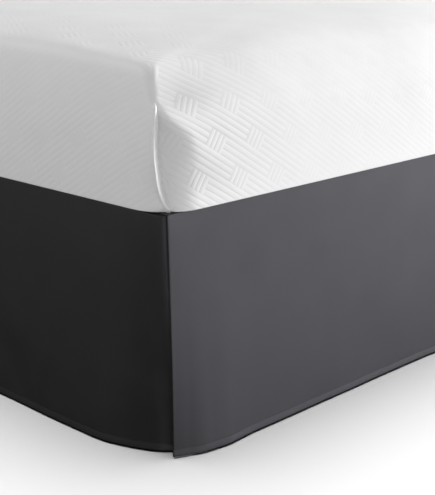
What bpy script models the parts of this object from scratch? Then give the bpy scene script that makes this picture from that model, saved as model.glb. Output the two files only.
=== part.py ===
"""Tailored bed skirt with split corners, hung on a box spring under a mattress, queen size.

Metres, +Z up. The origin is on the floor under the middle of the bed, +Y points to the head,
and +X is the right-hand side as seen from the foot. The skirt is a flat deck between box
spring and mattress, with one drop panel across the foot and one down each side. The head is
open. Each panel lies on the box spring's rim as a narrow flange, turns over a rounded
shoulder and hangs just clear of the floor.
"""

import math

import bmesh
import bpy
import numpy as np
from mathutils import Vector

# Cloth
CLOTH = 0.0012                  # thickness of the brushed cloth
GAP = 0.0003                    # between two pieces that touch
LAYER_GAP = 0.0006              # between two layers of cloth, one over the other
SEAM_GAP = 0.0006               # between two edges of cloth sewn together
LAP = CLOTH + LAYER_GAP         # how far an upper layer stands off the lower one

# Heights
HEM_CLEARANCE = 0.003           # hem to floor
DROP = 0.3556                   # 14 in, deck to hem
DECK_TOP = HEM_CLEARANCE + DROP
BASE_TOP = DECK_TOP - CLOTH - GAP
SIDE_FLANGE_TOP = DECK_TOP + LAP
MATTRESS_BOTTOM = SIDE_FLANGE_TOP + GAP

# Plan of the side panels' outer face; the foot panel lies one lap inside it
SIDE_X = 0.758
FOOT_Y = 1.015
HEAD_Y = 1.0085
SHOULDER_RADIUS = 0.0022        # side panel's outer face, where flange turns into drop
FLANGE = 0.014                  # seam to outer face
SIDE_CORNER_RADIUS = 0.010      # side panel's top edge, beside its free edge
SIDE_CORNER_TURN = 20           # degrees that it turns there
CORNER_RADIUS = 0.0162          # foot panel's top edge, round the foot corners
TUCK = 0.070                    # foot panel's end past the corner, behind the side panel

# Each hem near a foot corner: distance from the foot face, and inset from the side face
SIDE_HEM_MM = (
    # along, inset
    (34.5, 23.7),
    (47.0, 17.8),
    (58.0, 12.8),
    (68.0, 7.2),
    (80.0, 2.7),
    (95.0, 0.2),
    (108.0, -2.0),
    (123.0, -3.4),
    (141.0, -2.5),
    (159.0, -1.2),
    (180.0, 0.0),
    (230.0, 0.0),
)
FOOT_HEM_MM = (
    # along, inset
    (0.0, 190.0),
    (0.0, 160.0),
    (2.0, 134.0),
    (5.3, 120.0),
    (9.0, 107.0),
    (13.1, 94.5),
    (17.9, 82.0),
    (22.8, 71.0),
    (28.2, 60.0),
    (34.5, 50.0),
    (42.0, 42.0),
    (51.0, 34.0),
    (62.0, 25.0),
    (74.0, 17.0),
    (88.0, 11.0),
    (104.0, 8.0),
    (122.0, 6.5),
    (140.0, 6.0),
)
# Powers of the fall by which a panel moves in from its top edge's line to its hem's.
# The cloth lies on the box spring's corner at first and relaxes below it.
ALONG_FALL = 1.2
SIDE_FALL = 1.5
FOOT_FALL = 1.5

# Soft waves of the hanging cloth: wavelength, swing at the hem in metres, phase
RIGHT_WAVES = ((0.62, 0.0010, 0.4), (0.37, 0.0006, 2.1))
LEFT_WAVES = ((0.71, 0.0010, 1.9), (0.41, 0.0006, 0.7))
FOOT_WAVES = ((0.66, 0.0008, 1.1), (0.43, 0.0005, 0.0))

# Box spring
BOX_SPRING_HEIGHT = 0.140
BOX_SPRING_INSET = 0.0095       # from the side panels' and the foot's outer face
BOX_SPRING_HALF_WIDTH = SIDE_X - BOX_SPRING_INSET
BOX_SPRING_HALF_LENGTH = FOOT_Y - BOX_SPRING_INSET
BOX_SPRING_CORNER = 0.062
BOX_SPRING_EDGE = 0.007
EDGE_STEPS = 3

# Mattress
MATTRESS_HALF_WIDTH = 0.766
MATTRESS_HALF_LENGTH = 1.020
MATTRESS_SECTIONS_MM = (
    # height, inset at the ends, inset along the sides, corner radius, corner sink
    (0.0, 2.6, 2.6, 60.5, 0.0),
    (0.4, 1.6, 1.7, 61.5, 0.0),
    (1.4, 1.2, 1.4, 62.0, 0.0),
    (12.0, 1.1, 1.3, 62.0, 0.0),
    (60.0, 0.6, 1.0, 62.0, 0.0),
    (86.0, 0.0, 0.8, 62.0, 0.5),
    (100.0, 0.0, 1.0, 58.0, 1.0),
    (114.0, 0.0, 1.6, 42.0, 2.0),
    (128.0, 0.0, 3.0, 22.0, 3.5),
    (146.0, 0.2, 6.8, 14.0, 6.0),
    (160.0, 0.5, 11.6, 14.0, 9.0),
    (172.0, 0.9, 17.0, 15.0, 10.5),
    (183.0, 1.6, 23.0, 15.0, 11.5),
    (192.0, 2.9, 29.0, 15.0, 12.0),
    (199.0, 5.4, 36.0, 18.0, 12.0),
    (204.0, 10.0, 44.0, 25.0, 11.5),
    (208.0, 19.0, 54.0, 38.0, 11.0),
    (212.0, 37.0, 68.0, 58.0, 10.0),
    (217.0, 70.0, 92.0, 90.0, 7.0),
    (222.0, 120.0, 128.0, 120.0, 3.0),
    (226.5, 190.0, 192.0, 140.0, 1.0),
    (228.0, 280.0, 280.0, 160.0, 0.0),
)
SINK_REACHES = (0.11, 0.15)     # of a corner's sink, along the end and along the side
# How far the long sides are drawn in at their ends
DRAWN_MM = (
    # height, distance
    (112.0, 0.0),
    (128.0, 3.5),
    (140.0, 8.0),
    (146.0, 11.0),
    (153.0, 13.0),
    (160.0, 12.5),
    (172.0, 9.0),
    (183.0, 5.0),
    (192.0, 2.0),
    (199.0, 0.0),
)
DRAWN_REACHES = (0.080, 0.070)  # of the drawing in, inwards and along the side
SIDE_POINTS = 5                 # along each straight side of a section

# Steel frame
RAIL_WIDTH = 0.040
RAIL_HEIGHT = 0.030
RAIL_BEVEL = 0.003
RAIL_INSET = 0.035              # box spring's side to the rail's outer face
RAIL_END_INSET = 0.060          # box spring's end to the rail's end
BAR_STATIONS = {"head": 0.93, "middle": 0.0, "foot": -0.93}
LEG_STATIONS = {"head": 0.86, "middle": 0.08, "foot": -0.86}
LEG_RADIUS = 0.017
LEG_FOOT_RADIUS = 0.024
LEG_FOOT_HEIGHT = 0.012
LEG_SEGMENTS = 16

# Mesh steps
ARC_STEP = 0.0046               # along a panel round a foot corner
FINE_STEP = 0.0105              # beside the corner
FINE_REACH = 0.19               # straight stretch beside a corner that takes fine steps
COARSE_STEP = 0.068             # along the rest of the panel
DROP_ROWS = 6
SHOULDER_ROWS = 4
CORNER_STEPS = 8
CURVE_STEP = 0.002


class PlanCurve:
    """A line in plan, read by the distance along it."""

    def __init__(self, points):
        self.points = points
        self.distances = [0.0]
        for first, second in zip(points, points[1:]):
            self.distances.append(self.distances[-1] + (second - first).length)
        self.length = self.distances[-1]

    def at(self, distance):
        distance = min(max(distance, 0.0), self.length)
        index = 1
        while index < len(self.points) - 1 and self.distances[index] < distance:
            index += 1
        start = self.distances[index - 1]
        share = (distance - start) / (self.distances[index] - start)
        return self.points[index - 1].lerp(self.points[index], share)

    def outward(self, distance):
        """The unit normal on the right of the way along the curve."""
        way = self.at(distance + CURVE_STEP) - self.at(distance - CURVE_STEP)
        return Vector((way.y, -way.x)).normalized()


def smooth_points(knots):
    """A Catmull-Rom curve through the knots, in steps of about CURVE_STEP."""
    ends = [2 * knots[0] - knots[1]] + knots + [2 * knots[-1] - knots[-2]]
    points = []
    for before, first, second, after in zip(ends, ends[1:], ends[2:], ends[3:]):
        steps = max(1, round((second - first).length / CURVE_STEP))
        for step in range(steps):
            t = step / steps
            points.append(0.5 * (2 * first + (second - before) * t
                                 + (2 * before - 5 * first + 4 * second - after) * t ** 2
                                 + (3 * first - before - 3 * second + after) * t ** 3))
    return points + [knots[-1]]


def arc_points(centre, radius, start_degrees, end_degrees, steps):
    turn = (end_degrees - start_degrees) / steps
    angles = [math.radians(start_degrees + turn * step) for step in range(steps + 1)]
    return [centre + radius * Vector((math.cos(angle), math.sin(angle))) for angle in angles]


def rounded_rectangle(half_width, half_length, radius, steps=CORNER_STEPS):
    """Anticlockwise plan points; each corner's arc has steps + 1 of them."""
    points = []
    for x_side, y_side, start in ((1, -1, -90), (1, 1, 0), (-1, 1, 90), (-1, -1, 180)):
        centre = Vector((x_side * (half_width - radius), y_side * (half_length - radius)))
        points += arc_points(centre, radius, start, start + 90, steps)
    return points


def corner_knots(table_mm):
    """A hem table's rows as plan points at the right-hand foot corner."""
    return [Vector((SIDE_X - inset / 1000, -FOOT_Y + along / 1000)) for along, inset in table_mm]


def side_curves():
    """Top edge and hem of the right-hand side panel, from its free edge to the head."""
    centre = Vector((SIDE_X - SIDE_CORNER_RADIUS, -FOOT_Y + SIDE_CORNER_RADIUS))
    head_end = Vector((SIDE_X, HEAD_Y))
    top = arc_points(centre, SIDE_CORNER_RADIUS, -SIDE_CORNER_TURN, 0, CORNER_STEPS) + [head_end]
    hem = smooth_points(corner_knots(SIDE_HEM_MM)) + [head_end]
    return PlanCurve(top), PlanCurve(hem)


def foot_curves():
    """Top edge and hem of the foot panel, from its left-hand end to its right-hand end."""
    side_x = SIDE_X - LAP
    centre = Vector((side_x - CORNER_RADIUS, -FOOT_Y + LAP + CORNER_RADIUS))
    tucked_end = Vector((side_x, centre.y + TUCK))
    right_top = arc_points(centre, CORNER_RADIUS, -90, 0, 6 * CORNER_STEPS) + [tucked_end]
    right_hem = smooth_points(corner_knots(FOOT_HEM_MM))
    curves = []
    for right_half in (right_top, right_hem):
        left_half = [Vector((-point.x, point.y)) for point in reversed(right_half)]
        curves.append(PlanCurve(left_half + right_half))
    return curves


def stations(*stretches):
    """Distances along a panel through stretches of (length, step)."""
    marks = [0.0]
    for length, step in stretches:
        start = marks[-1]
        count = math.ceil(length / step)
        marks += [start + length * index / count for index in range(1, count + 1)]
    return marks


def panel_column(top, hem, mark, flange_top, shoulder, fall_power, waves, turn=None):
    """Points down a panel's outer face: flange, shoulder and drop.

    The cloth turns over its shoulder across the top edge, or in plan along the way "turn".
    """
    outward = top.outward(mark)
    edge = top.at(mark)
    turn = turn or outward
    column = [(edge - turn * FLANGE, flange_top)]
    for row in range(SHOULDER_ROWS + 1):
        angle = math.pi / 2 * row / SHOULDER_ROWS
        inset = shoulder * (1 - math.sin(angle))
        column.append((edge - turn * inset, flange_top - shoulder * (1 - math.cos(angle))))
    swing = sum(size * math.sin(math.tau * mark / wavelength + phase)
                for wavelength, size, phase in waves)
    hem_point = hem.at(mark / top.length * hem.length) + outward * swing
    outward_part = outward * (hem_point - edge).dot(outward)
    along_part = hem_point - edge - outward_part
    drop_top = flange_top - shoulder
    for row in range(1, DROP_ROWS + 1):
        fall = row / DROP_ROWS
        point = edge + along_part * fall ** ALONG_FALL + outward_part * fall ** fall_power
        column.append((point, drop_top + (HEM_CLEARANCE - drop_top) * fall))
    return column


def hung_panel(name, columns, side, cloth):
    """A sheet through the columns' points; side -1 mirrors it to the left of the bed."""
    mesh = bmesh.new()
    grid = [[mesh.verts.new((side * point.x, point.y, height)) for point, height in column]
            for column in columns]
    for first, second in zip(grid, grid[1:]):
        for row in range(len(first) - 1):
            corners = [first[row], first[row + 1], second[row + 1], second[row]]
            mesh.faces.new(corners[::side])
    panel = add_object(name, mesh, cloth)
    thickness = panel.modifiers.new("thickness", "SOLIDIFY")
    thickness.thickness = CLOTH
    thickness.offset = -1.0
    thickness.use_even_offset = True
    return panel


def side_panels(cloth):
    top, hem = side_curves()
    arc = SIDE_CORNER_RADIUS * math.radians(SIDE_CORNER_TURN)
    marks = stations((arc, ARC_STEP), (FINE_REACH, FINE_STEP),
                     (top.length - arc - FINE_REACH, COARSE_STEP))
    for name, side, waves in (("right", 1, RIGHT_WAVES), ("left", -1, LEFT_WAVES)):
        columns = [panel_column(top, hem, mark, SIDE_FLANGE_TOP, SHOULDER_RADIUS, SIDE_FALL, waves,
                                Vector((1.0, 0.0))) for mark in marks]
        hung_panel("skirt_side_panel_" + name, columns, side, cloth)


def foot_panel(cloth):
    top, hem = foot_curves()
    corner = ((TUCK, FINE_STEP), (CORNER_RADIUS * math.pi / 2, ARC_STEP), (FINE_REACH, FINE_STEP))
    middle = top.length - 2 * sum(length for length, step in corner)
    marks = stations(*corner, (middle, COARSE_STEP), *reversed(corner))
    columns = [panel_column(top, hem, mark, DECK_TOP, SHOULDER_RADIUS - LAP, FOOT_FALL, FOOT_WAVES)
               for mark in marks]
    hung_panel("skirt_foot_panel", columns, 1, cloth)


def deck(cloth):
    """The platform sheet, cut back at each foot corner to take the foot panel's flange."""
    edge_x = SIDE_X - SHOULDER_RADIUS
    seam_x = SIDE_X - LAP - FLANGE - SEAM_GAP
    seam_y = -FOOT_Y + LAP + FLANGE + SEAM_GAP
    radius = CORNER_RADIUS - FLANGE - SEAM_GAP
    step_y = -FOOT_Y + LAP + CORNER_RADIUS + TUCK + SEAM_GAP
    corner = arc_points(Vector((seam_x - radius, seam_y + radius)), radius, -90, 0, CORNER_STEPS)
    right = corner + [Vector(point) for point in ((seam_x, step_y), (edge_x, step_y), (edge_x, HEAD_Y))]
    left = [Vector((-point.x, point.y)) for point in reversed(right)]
    add_object("skirt_deck", prism(right + left, BASE_TOP + GAP, DECK_TOP), cloth)


def prism(outline, bottom, top):
    """A closed prism on an anticlockwise plan outline."""
    return loft([[(point.x, point.y, height) for point in outline] for height in (bottom, top)])


def loft(rings):
    """A closed solid through rings of the same number of points, from the bottom up."""
    mesh = bmesh.new()
    loops = [[mesh.verts.new(point) for point in ring] for ring in rings]
    mesh.faces.new(loops[0][::-1])
    mesh.faces.new(loops[-1])
    for lower, upper in zip(loops, loops[1:]):
        for index, corner in enumerate(lower):
            following = (index + 1) % len(lower)
            mesh.faces.new((corner, lower[following], upper[following], upper[index]))
    return mesh


def box_spring(ticking):
    sections = []
    for step in range(EDGE_STEPS + 1):
        angle = math.pi / 2 * step / EDGE_STEPS
        sections.append((BOX_SPRING_EDGE * (1 - math.cos(angle)), BOX_SPRING_EDGE * (1 - math.sin(angle))))
    upper = [(BOX_SPRING_HEIGHT - rise, inset) for rise, inset in reversed(sections)]
    rings = []
    for rise, inset in sections + upper:
        outline = rounded_rectangle(BOX_SPRING_HALF_WIDTH - inset, BOX_SPRING_HALF_LENGTH - inset,
                                    BOX_SPRING_CORNER - inset)
        height = BASE_TOP - BOX_SPRING_HEIGHT + rise
        rings.append([(point.x, point.y, height) for point in outline])
    add_object("box_spring", loft(rings), ticking)


def mattress(cover):
    """Round-edged slab whose top sinks, and whose long sides are drawn in, at its corners."""
    drawn_heights, drawn_by = zip(*DRAWN_MM)
    inward, beside = DRAWN_REACHES
    rings = []
    for row in MATTRESS_SECTIONS_MM:
        height, end_inset, side_inset, radius, corner_sink = (value / 1000 for value in row)
        half_width = MATTRESS_HALF_WIDTH - side_inset
        half_length = MATTRESS_HALF_LENGTH - end_inset
        drawn = np.interp(row[0], drawn_heights, drawn_by) / 1000
        corner_inset = radius * (1 - math.sqrt(0.5))
        ring = []
        for point in with_side_points(rounded_rectangle(half_width, half_length, radius)):
            x, y = abs(point.x), abs(point.y)
            share = min(max((x - half_width + inward) / inward, 0), 1)
            x -= drawn * share * math.exp(-((half_length - y) / beside) ** 2)
            gap_x = (x - half_width + corner_inset) / SINK_REACHES[0]
            gap_y = (y - half_length + corner_inset) / SINK_REACHES[1]
            sink = corner_sink * math.exp(-gap_x ** 2 - gap_y ** 2)
            ring.append((math.copysign(x, point.x), point.y, MATTRESS_BOTTOM + height - sink))
        rings.append(ring)
    add_object("mattress", loft(rings), cover)


def with_side_points(outline):
    """A rounded rectangle with more points along its sides, closer together at their ends."""
    points = []
    for index, point in enumerate(outline):
        points.append(point)
        if index % (CORNER_STEPS + 1) == CORNER_STEPS:
            following = outline[(index + 1) % len(outline)]
            for step in range(1, SIDE_POINTS + 1):
                share = 0.5 - 0.5 * math.cos(math.pi * step / (SIDE_POINTS + 1))
                points.append(point.lerp(following, share))
    return points


def rail(name, centre, size, steel):
    """A steel tube of rectangular section, drawn closed, with softened edges."""
    mesh = bmesh.new()
    bmesh.ops.create_cube(mesh, size=1.0)
    bmesh.ops.scale(mesh, vec=size, verts=mesh.verts)
    bmesh.ops.bevel(mesh, geom=mesh.edges[:], offset=RAIL_BEVEL, segments=1, affect="EDGES")
    add_object(name, mesh, steel).location = centre


def leg(name, x, y, height, steel):
    """A round leg on a wider foot, turned about its own axis."""
    profile = (
        (LEG_FOOT_RADIUS, 0.0),
        (LEG_FOOT_RADIUS, LEG_FOOT_HEIGHT * 0.6),
        (LEG_RADIUS, LEG_FOOT_HEIGHT),
        (LEG_RADIUS, height),
    )
    rings = []
    for radius, rise in profile:
        circle = arc_points(Vector((0.0, 0.0)), radius, 0, 360, LEG_SEGMENTS)[:-1]
        rings.append([(point.x, point.y, rise) for point in circle])
    add_object(name, loft(rings), steel).location = (x, y, 0.0)


def bed_frame(steel):
    """Two side rails on six legs, with three cross bars between the rails."""
    top = BASE_TOP - BOX_SPRING_HEIGHT - GAP
    rail_x = BOX_SPRING_HALF_WIDTH - RAIL_INSET - RAIL_WIDTH / 2
    rail_z = top - RAIL_HEIGHT / 2
    rail_size = (RAIL_WIDTH, 2 * (BOX_SPRING_HALF_LENGTH - RAIL_END_INSET), RAIL_HEIGHT)
    bar_size = (2 * (rail_x - RAIL_WIDTH / 2 - GAP), RAIL_WIDTH, RAIL_HEIGHT)
    for side_name, side in (("right", 1), ("left", -1)):
        rail("frame_rail_" + side_name, (side * rail_x, 0.0, rail_z), rail_size, steel)
        for place, y in LEG_STATIONS.items():
            leg(f"frame_leg_{side_name}_{place}", side * rail_x, y, top - RAIL_HEIGHT - GAP, steel)
    for place, y in BAR_STATIONS.items():
        rail("frame_bar_" + place, (0.0, y, rail_z), bar_size, steel)


def make_material(name, colour, roughness, metallic=0.0):
    material = bpy.data.materials.new(name)
    material.use_nodes = True
    shader = material.node_tree.nodes["Principled BSDF"]
    shader.inputs["Base Color"].default_value = (*colour, 1.0)
    shader.inputs["Roughness"].default_value = roughness
    shader.inputs["Metallic"].default_value = metallic
    return material


def add_object(name, mesh, material):
    data = bpy.data.meshes.new(name)
    mesh.to_mesh(data)
    mesh.free()
    data.materials.append(material)
    data.shade_smooth()
    data.set_sharp_from_angle(angle=math.radians(35))
    piece = bpy.data.objects.new(name, data)
    bpy.context.scene.collection.objects.link(piece)
    return piece


def main():
    for old in list(bpy.data.objects):
        bpy.data.objects.remove(old)
    cloth = make_material("charcoal microfibre", (0.045, 0.046, 0.050), 0.75)
    deck(cloth)
    foot_panel(cloth)
    side_panels(cloth)
    box_spring(make_material("box spring ticking", (0.42, 0.41, 0.39), 0.85))
    mattress(make_material("white quilted cover", (0.86, 0.86, 0.87), 0.8))
    bed_frame(make_material("black painted steel", (0.03, 0.03, 0.032), 0.45))


main()
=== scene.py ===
import math

import bpy
import numpy as np
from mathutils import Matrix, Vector


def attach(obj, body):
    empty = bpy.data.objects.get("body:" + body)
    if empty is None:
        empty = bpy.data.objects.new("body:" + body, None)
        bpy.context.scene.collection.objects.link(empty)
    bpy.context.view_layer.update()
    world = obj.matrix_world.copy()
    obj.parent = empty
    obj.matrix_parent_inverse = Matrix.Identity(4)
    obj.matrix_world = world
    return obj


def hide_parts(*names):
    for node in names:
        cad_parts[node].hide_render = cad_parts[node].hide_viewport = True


# The looks of a tailored bed skirt with split corners, on its box spring, mattress and frame.
# Metres, +Z up, +Y to the head, +X the right-hand side seen from the foot, floor at z = 0.
# Sizes repeat the CAD source's; the meshes here are finer, with hems, stitches and quilting.

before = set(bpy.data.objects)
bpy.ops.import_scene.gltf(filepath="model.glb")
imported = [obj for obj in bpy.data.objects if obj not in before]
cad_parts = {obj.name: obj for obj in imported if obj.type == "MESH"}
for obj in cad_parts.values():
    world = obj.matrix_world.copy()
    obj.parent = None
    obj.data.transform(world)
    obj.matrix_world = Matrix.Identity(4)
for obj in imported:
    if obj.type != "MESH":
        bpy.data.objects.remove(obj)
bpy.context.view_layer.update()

# -------- sizes of the CAD source
CLOTH = 0.0012
GAP = 0.0003  # between things that lie on each other
LAYER_GAP = 0.0006  # between lapped panels
SEAM_GAP = 0.0006
LAP = CLOTH + LAYER_GAP
HEM_CLEARANCE = 0.003
DROP = 0.3556
DECK_TOP = HEM_CLEARANCE + DROP
BASE_TOP = DECK_TOP - CLOTH - GAP
SIDE_FLANGE_TOP = DECK_TOP + LAP
MATTRESS_BOTTOM = SIDE_FLANGE_TOP + GAP
SIDE_X = 0.758  # outer faces of the side panels
FOOT_Y = 1.015  # and of the foot panel
HEAD_Y = 1.0085
SHOULDER_RADIUS = 0.0022
FLANGE = 0.014
SIDE_CORNER_RADIUS = 0.010
SIDE_CORNER_TURN = 20  # degrees of that corner before the free edge
CORNER_RADIUS = 0.0162  # foot panel's
TUCK = 0.070
# Hems at a foot corner: distance from the foot's face, inset from the side's face
SIDE_HEM_MM = (
    (34.5, 23.7), (47, 17.8), (58, 12.8), (68, 7.2), (80, 2.7), (95, 0.2), (108, -2), (123, -3.4),
    (141, -2.5), (159, -1.2), (180, 0), (230, 0),
)
FOOT_HEM_MM = (
    (0, 190), (0, 160), (2, 134), (5.3, 120), (9, 107), (13.1, 94.5), (17.9, 82), (22.8, 71),
    (28.2, 60), (34.5, 50), (42, 42), (51, 34), (62, 25), (74, 17), (88, 11), (104, 8), (122, 6.5),
    (140, 6),
)
# Powers of the fall at which a hem's shift is reached, along a panel and outwards
ALONG_FALL = 1.2
SIDE_FALL = 1.5
FOOT_FALL = 1.5
# Wavelength, size and phase of each wave in a hem
RIGHT_WAVES = ((0.62, 0.0010, 0.4), (0.37, 0.0006, 2.1))
LEFT_WAVES = ((0.71, 0.0010, 1.9), (0.41, 0.0006, 0.7))
FOOT_WAVES = ((0.66, 0.0008, 1.1), (0.43, 0.0005, 0))
BOX_SPRING_HEIGHT = 0.140
BOX_SPRING_INSET = 0.0095
BOX_SPRING_X = SIDE_X - BOX_SPRING_INSET
BOX_SPRING_Y = FOOT_Y - BOX_SPRING_INSET
BOX_SPRING_CORNER = 0.062
BOX_SPRING_EDGE = 0.007
MATTRESS_X = 0.766  # half of its width
MATTRESS_Y = 1.020  # and of its length
MATTRESS_SECTIONS_MM = (
    # height, inset at the ends and along the sides, corner radius, corner sink
    (0, 2.6, 2.6, 60.5, 0), (0.4, 1.6, 1.7, 61.5, 0), (1.4, 1.2, 1.4, 62, 0), (5, 1.2, 1.4, 62, 0),
    (12, 1.1, 1.3, 62, 0), (60, 0.6, 1, 62, 0), (86, 0, 0.8, 62, 0.5), (100, 0, 1, 58, 1),
    (114, 0, 1.6, 42, 2), (128, 0, 3, 22, 3.5), (146, 0.2, 6.8, 14, 6), (160, 0.5, 11.6, 14, 9),
    (172, 0.9, 17, 15, 10.5), (183, 1.6, 23, 15, 11.5), (192, 2.9, 29, 15, 12),
    (199, 5.4, 36, 18, 12), (204, 10, 44, 25, 11.5), (208, 19, 54, 38, 11), (212, 37, 68, 58, 10),
    (217, 70, 92, 90, 7), (222, 120, 128, 120, 3), (226.5, 190, 192, 140, 1),
    (228, 280, 280, 160, 0),
)
SINK_REACHES = (0.11, 0.15)  # of a corner's sink, along the end and along the side

# -------- sizes of the finer detail
# Cut sizes before hanging
SIDE_CUT_LENGTH = 2.017
FOOT_CUT_LENGTH = 1.671

HEM_TURN = 0.012  # height of the turned-up hem
HEM_CLOTH = 0.0025  # cloth and its turned-up layer
STITCH_RISE = 0.0112  # hem edge to the row of stitches
STITCH_PITCH = 0.0031
STITCH_LENGTH = 0.0023
THREAD = 0.00024  # radius
# Share along a stitch, share of its thread's radius
STITCH_SHAPE = ((0, 0.3), (0.22, 0.95), (0.5, 1.1), (0.78, 0.95), (1, 0.3))
# Rows of points over a hem, by distance from its edge
HEM_RISES = np.array((0.0190, 0.0165, 0.0150, 0.0138, 0.0130, 0.0124, 0.0118, STITCH_RISE, 0.0106,
                      0.0100, 0.0092, 0.0082, 0.0070, 0.0058, 0.0045, 0.0034, 0.0024,
                      HEM_CLOTH / 2))
# Outward relief of a hem, by distance from its edge
HEM_RELIEF_MM = (
    (0, 0.70), (1.2, 0.95), (2.6, 1), (4.5, 0.82), (7, 0.52), (9.2, 0.22), (10.4, 0.03),
    (11.2, -0.06), (12, -0.04), (13.4, 0), (16, 0), (25, 0),
)
FREE_EDGE_RELIEF = 0.00135  # the free edge's turned layer lies outside, clear of the foot panel
FREE_EDGE_FADE = (0.006, 0.055)
# Steps of a panel's mesh down the cloth, and along it
FLANGE_STEPS = 4
SHOULDER_STEPS = 8
DROP_START = 0.004  # below the shoulder
DROP_STEP = 0.0065
FREE_EDGE_STEPS = ((HEM_CLOTH / 2, 0.0045, 0.0016), (0.0045, 0.0090, 0.0022),
                   (0.0090, 0.0135, 0.0006), (0.0135, 0.20, 0.0035))
ARC_STEP = 0.0019
ARC_MARGIN = 0.002
CORNER_STEP = 0.0042
CORNER_REACH = 0.17
WIDE_STEP = 0.0105
# Steps of the platform's mesh along the bed, and as a share of half its width
DECK_FINE_STEP = 0.001
DECK_STEP = 0.02
DECK_LONG_STEP = 0.025
DECK_HEM_REACH = 0.018
DECK_HEM_STEP = 0.0012
DECK_SHARE = 0.034
# Depth, stretch along and down the cloth, and size of a panel's wrinkles
WRINKLES = ((0.00034, (1, 1), 0.075), (0.00020, (2.2, 1), 0.16))
EDGE_TURNS = np.radians((35, 65, 90))  # round a sheet's edge
SHEET_PARTS = (3, 4, 7)  # where the parts of a sheet's grid begin

QUILT_ANGLE = 31.0  # fall of the quilt's long ribs from the horizontal
RIB_PITCH = 0.0084
RIB_RELIEF = 0.00026
FURROW_RELIEF = 0.0003
FURROW_REACH = 0.004
# Blocks of ribs that run across the long ones; all in ribs
BLOCK_WIDTH = 4  # along the long ribs
BLOCK_HEIGHT = 3
COLUMN_PITCH = 8  # along the long ribs
BLOCK_PITCH = 7  # in a column
COLUMN_SHIFT = 4  # of a column's blocks over those of the last
BLOCK_START = (0.126, 0.1387)  # middle of one block, in the cover's flat metres

SEAM_TOP = 0.145  # height to which a mattress's corner seams stand
SEAM_PLACES = (
    # height in the section, degrees on the corner's arc, x of the seam's edge: all in mm
    (0, -41.3, 764), (3.6, -42, 768), (8.6, -45.8, 768.5), (15, -48.8, 763), (22, -51.2, 758),
    (30, -53.5, 754.5), (40, -55.2, 750.8), (60, -57, 747.9), (72, -58.2, 746.5),
    (100, -58.5, 746.6), (112, -61.5, 747.2), (124, -64.8, 747.8), (132, -63.5, 748.1),
    (140, -54.5, 749.7), (146, -43.5, 750.6), (153, -43, 751), (160, -44, 751), (172, -45, 751),
    (228, -45, 751),
)
SEAM_STAND = (0.010, 0.085)  # heights between which the seam comes to stand off the corner
SEAM_END = (SEAM_TOP - 0.0005, SEAM_TOP + 0.0035)
# Share of a seam's stand that is left at distances from it along the side
FLANK = ((0, 1), (0.0010, 0.99), (0.0016, 0.90), (0.0021, 0.60), (0.0026, 0.25),
         (0.0031, 0.05), (0.0036, 0))
# Relief across a corner seam, by distance from it towards the long side
SEAM_RELIEF_MM = (
    (-60, 0), (-14, 0), (-8, -0.4), (-4.5, -0.8), (-3.1, -0.5), (-2.3, 0.4), (-1.5, 1.4),
    (-0.6, 2.1), (0.3, 2.2), (1, 1.9), (1.6, 1.1), (2.2, -0.2), (2.8, -1.7), (3.6, -2.6), (5, -2),
    (7, -1.2), (10, -0.5), (16, 0), (60, 0),
)
# How far the long sides are drawn in at the corners above the seams: height, distance, in mm
DRAWN_MM = ((112, 0), (128, 3.5), (140, 8), (146, 11), (153, 13), (160, 12.5), (172, 9),
            (183, 5), (192, 2), (199, 0))
DRAWN_REACHES = (0.080, 0.070)  # inwards and along the side
SEAM_FADE = 0.003  # of the fold's relief above its top
LOW_FOLD = 0.45  # share of that relief at the bottom
LOW_FOLD_END = (0.004, 0.020)
QUILT_START = (0.010, 0.035)  # heights over which the furrows begin
QUILT_GAP = (0.004, 0.020)  # distances from a seam over which they begin
# Slack on the long side of a corner seam: its depth, heights between which it deepens and
# fades, distances over which it starts beside the seam, and heights with its reach
HOLLOW_DEPTH = 0.0080
HOLLOW_START = (0.002, 0.034)
HOLLOW_END = (0.085, 0.142)
HOLLOW_EDGE = (0.0012, 0.0036)
HOLLOW_REACHES = (
    (0.020, 0.150), (0.045, 0.130), (0.065, 0.098), (0.083, 0.066), (0.105, 0.040), (0.125, 0.026),
)
# Distances of the columns of points from a corner seam, towards the end and towards the side
CORNER_COLUMNS_MM = (
    (36, 31, 26.5, 22.5, 19, 16, 13.5, 11.2, 9.2, 7.5, 6, 4.8, 3.8, 2.9, 2.1, 1.4, 0.8, 0.35),
    (0, 0.4, 0.8, 1.2, 1.7, 2.2, 2.7, 3.3, 4, 5, 6.2, 7.7, 9.5, 11.6, 14, 17, 20.5, 24.5,
     29, 34, 39.5, 45, 50.5, 56, 61),
)
FOOT_COLUMNS, SIDE_COLUMNS = 88, 120  # beyond those, in a quarter of a ring
# Rings from one row of the section table to another, and the share of a row between them
RING_STEPS = ((0, 4, 1 / 2), (4, 5, 1 / 6), (5, 9, 1 / 4), (9, 10, 1 / 6), (10, 15, 1 / 4),
              (15, 18, 1 / 3))
OVER_TOP_ROW = 15  # from which all of the cloth has the top's flat coordinates
FLAT_TOP_ROW = 16  # from which the top is read as a height over its plan
TOP_STEP = 0.010
TOP_INSET = 0.105  # mattress's side to the evenly gridded middle of its top
RIM_INSET = 0.068  # mattress's side to the last ring of its rounded edge
RIM_SHARES = (0.09, 0.26, 0.44, 0.62, 0.81)  # rings from that one to the even grid
# Rings of the mattress's underside: inset, corner radius, height
BOTTOM_RINGS = ((0.031, 0.040, MATTRESS_BOTTOM), (0.046, 0.034, DECK_TOP + GAP))
BOTTOM_POINTS = 240
HALVINGS = 24  # in the search for the top's height
PADDING_START = (0.006, 0.040)
PADDING = ((0.0008, 0.15, 51), (0.00025, 0.05, 52))  # depth, size and seed of its lumps

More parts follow.
